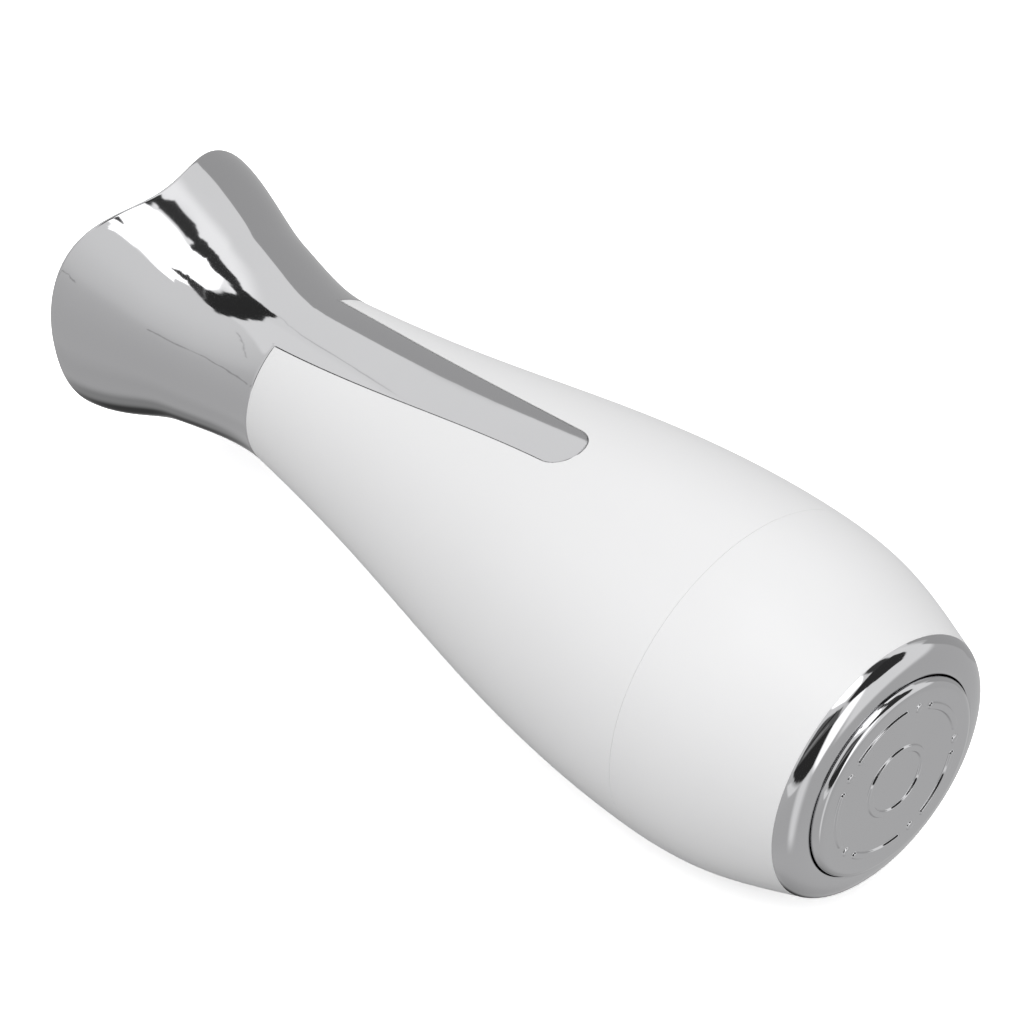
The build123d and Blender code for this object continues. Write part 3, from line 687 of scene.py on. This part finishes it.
# The crumpled edge of black cloth: every direction is pushed aside a little
cloth = nodes.new("ShaderNodeTexNoise")
cloth.inputs["Scale"].default_value = 11
cloth.inputs["Detail"].default_value = 5
cloth.inputs["Roughness"].default_value = 0.6
links.new(way.outputs["Generated"], cloth.inputs["Vector"])
push = nodes.new("ShaderNodeVectorMath")
push.operation = "MULTIPLY_ADD"
push.inputs[1].default_value = (0.09, 0.09, 0.09)
links.new(cloth.outputs["Color"], push.inputs[0])
middle_off = nodes.new("ShaderNodeVectorMath")
middle_off.operation = "SUBTRACT"
middle_off.inputs[1].default_value = (0.045, 0.045, 0.045)
links.new(way.outputs["Generated"], middle_off.inputs[0])
links.new(middle_off.outputs["Vector"], push.inputs[2])
straight = way.outputs["Generated"]
crumpled = push.outputs["Vector"]


# How far a direction is inside one side of a card, from 0 to 1
def inside(view, normal, soft):
    dot = nodes.new("ShaderNodeVectorMath")
    dot.operation = "DOT_PRODUCT"
    dot.inputs[1].default_value = normal
    links.new(view, dot.inputs[0])
    step = nodes.new("ShaderNodeMapRange")
    step.interpolation_type = "SMOOTHSTEP"
    step.inputs["From Min"].default_value = -soft
    step.inputs["From Max"].default_value = soft
    links.new(dot.outputs["Value"], step.inputs["Value"])
    return step.outputs["Result"]


# A card with straight sides, of one brightness, hung in front of what is there already
def hang(level, view, brightness, soft, corners):
    middle = sum((towards(*corner) for corner in corners), Vector())
    mask = None
    for here, there in zip(corners, corners[1:] + corners[:1]):
        normal = towards(*there).cross(towards(*here)).normalized()
        if normal.dot(middle) < 0:
            normal = -normal
        side = inside(view, normal, soft)
        mask = side if mask is None else node_math("MULTIPLY", mask, side)
    change = node_math("SUBTRACT", brightness, level)
    return node_math("ADD", level, node_math("MULTIPLY", change, mask))


# The tent as metal sees it: a little darker lower down
height = nodes.new("ShaderNodeSeparateXYZ")
links.new(straight, height.inputs[0])
fall = nodes.new("ShaderNodeFloatCurve")
shape = fall.mapping.curves[0]
shape.points[0].location = (0, 0.40)
shape.points[1].location = (1, 0.97)
low_points = [(-0.95, 0.50), (-0.85, 0.60), (-0.6, 0.585), (0, 0.625)]
high_points = [(0.2, 0.67), (0.4, 0.80), (0.6, 0.88), (0.8, 0.95)]
for up, brightness in low_points + high_points:
    shape.points.new((up + 1) / 2, brightness)
fall.mapping.update()
links.new(node_math("ADD", node_math("MULTIPLY", height.outputs["Z"], 0.5), 0.5), fall.inputs["Value"])
level = fall.outputs["Value"]

# Light screens behind the tail, with a grey one under them
level = hang(level, straight, 1.03, 0.03, [(178, 31), (178, 80), (100, 80), (78, 60), (80, 24), (140, 18)])
level = hang(level, straight, 1.07, 0.03, [(-148, 33), (-150, 64), (176, 64), (176, 31)])
level = hang(level, straight, 1.38, 0.1, [(179, 58), (140, 80), (70, 80), (72, 52), (120, 50), (150, 52)])
grey_edge = [(80, 32), (104, 34), (122, 32), (134, 27), (148, 23.5), (165, 15)]
level = hang(level, straight, 0.49, 0.008, grey_edge + [(165, -35), (80, -35)])
# Painted shadow: the massager's shadow on the floor, painted into what metal mirrors under the tail in three
# darker steps
level = hang(level, straight, 0.53, 0.1, [(-100, -42), (-150, -34), (150, -30), (150, -80), (-90, -75)])
painted_shadow_under_tail = [(-135, -60), (-150, -53), (-172, -50), (165, -47), (120, -50), (120, -82), (-110, -82)]
level = hang(level, straight, 0.3, 0.12, painted_shadow_under_tail)
darkest_painted_shadow = [(-168, -62), (-175, -56), (165, -50), (130, -50), (130, -80), (-160, -80)]
level = hang(level, straight, 0.05, 0.12, darkest_painted_shadow)

# Creases in the tent beside the tail
level = hang(level, crumpled, 0.42, 0.004, [(-100, 15), (-108, 16.8), (-108, 15.4), (-100, 13.6)])
level = hang(level, crumpled, 0.42, 0.004, [(-107, 16.8), (-112, 16), (-134, 4.8), (-133, 3.6), (-112, 14.6)])
level = hang(level, crumpled, 0.6, 0.004, [(-140, 48), (-139, 48), (-134, 28), (-135, 28)])
level = hang(level, crumpled, 0.7, 0.004, [(164, 45), (165, 45), (174, 35), (173, 34.5)])

# The softbox overhead
white = 2.2
far_edge = [(178, 68), (158, 62.5), (140, 64), (120, 72), (66, 76)]
near_edge = [(-60, 69), (-91, 74), (-134, 66.5), (-146, 64.5)]
level = hang(level, straight, white, 0.008, far_edge + near_edge)
over_neck = [(-104, 68.5), (-90, 70), (-63, 69.5), (-52, 71.5), (0, 84), (-104, 80)]
level = hang(level, straight, white, 0.008, over_neck)
over_head = [(60, 70), (35, 58), (20, 42), (0, 40), (-15, 50), (-30, 63), (-60, 68), (-90, 80), (100, 80)]
level = hang(level, straight, white, 0.02, over_head)

# Black flags round the softbox
level = hang(level, crumpled, 0.05, 0.008, [(60, 72), (60, 62), (80, 63.5), (86, 66), (86, 76), (72, 72.5)])
level = hang(level, crumpled, 0.05, 0.008, [(84, 76.5), (84, 67), (112, 65), (128, 61), (128, 72.5)])
level = hang(level, crumpled, 0.05, 0.008, [(127, 73), (127, 61), (142, 59.5), (155, 58), (158, 64), (148, 67)])
level = hang(level, crumpled, 0.04, 0.008, [(155, 64.5), (155, 58), (161, 52), (166, 46), (172, 50), (165, 61)])
upper_edge = [(161, 61), (180, 67.5), (-163, 70), (-142, 66)]
lower_edge = [(-137, 60), (-144, 58), (-158, 56), (-177, 52), (166, 48)]
level = hang(level, crumpled, 0.035, 0.01, upper_edge + lower_edge)
level = hang(level, crumpled, 0.07, 0.006, [(-163, 70), (-161, 74), (-150, 76.5), (-142, 72), (-142, 66)])
streak = [(-158, 76), (-140, 80.5), (-100, 82), (-78, 79.5), (-100, 79), (-142, 73.5)]
level = hang(level, crumpled, 0.07, 0.006, streak)

# In front of the head: light screens with a grey one between, black flags and a strip light
level = hang(level, straight, 1.05, 0.06, [(15, 20), (60, 50), (95, 50), (95, 12), (66, -4), (60, -22), (14, -22)])
low_screen = [(-72, 9), (-58, 9), (-20, -12), (-6, -14), (-2, -24), (-22, -20), (-46, -7), (-72, -1)]
level = hang(level, straight, 1.0, 0.03, low_screen)
level = hang(level, straight, 1.0, 0.09, [(-20, -12), (-1, -12), (0, -46), (-14, -46)])
level = hang(level, straight, 0.48, 0.03, [(66, 8), (92, 6), (110, -10), (110, -32), (78, -28), (66, -8)])
grey_cloth = [(-66, 20), (-58, 38), (-50, 50), (-32, 54), (-20, 49), (-10, 42), (1, 33), (0, 14), (-40, 8)]
level = hang(level, crumpled, 0.14, 0.03, grey_cloth)
black_cloth = [(-5, -13), (-14, -13), (-44, 4), (-66, 18), (-56, 26), (-20, 21), (-2, 18), (-2, 2)]
level = hang(level, crumpled, 0.035, 0.02, black_cloth)
level = hang(level, crumpled, 0.035, 0.02, [(-58, 33), (-58, 30), (-8, 34), (-8, 40)])
level = hang(level, crumpled, 0.3, 0.02, [(-50, 24), (-50, 27), (-30, 33), (-12, 28), (-12, 25)])
strip = [(-3, 14), (3, 17), (10, 24), (22, 14), (18, 4), (13, -14), (2, -22), (-4, -14)]
level = hang(level, straight, 1.8, 0.04, strip)
far_cloth = [(4, 33), (28, 43), (50, 48), (60, 34), (56, 18), (42, 6), (28, 7), (8, 22)]
level = hang(level, crumpled, 0.04, 0.02, far_cloth)
level = hang(level, crumpled, 0.06, 0.03, [(36, 42), (38, 54), (50, 64), (68, 60), (70, 48), (58, 38)])

# A weak softbox close over the collar, which metal doesn't mirror
bpy.ops.object.light_add(type="AREA", location=(0.087, -0.054, 0.12))
lamp = bpy.context.object
lamp.name = "collar_softbox"
lamp.rotation_euler = (Vector((0.062, -0.009, 0.046)) - lamp.location).to_track_quat("-Z", "Y").to_euler()
lamp.data.size = 0.05
lamp.data.energy = 0.0082
lamp.visible_camera = False
lamp.visible_glossy = False

mirrored = nodes.new("ShaderNodeBackground")
mirrored.inputs["Color"].default_value = (1, 1, 1, 1)
links.new(level, mirrored.inputs["Strength"])
path = nodes.new("ShaderNodeLightPath")
choose = nodes.new("ShaderNodeMixShader")
links.new(path.outputs["Is Glossy Ray"], choose.inputs["Fac"])
links.new(tent.outputs["Background"], choose.inputs[1])
links.new(mirrored.outputs["Background"], choose.inputs[2])
links.new(choose.outputs["Shader"], nodes["World Output"].inputs["Surface"])
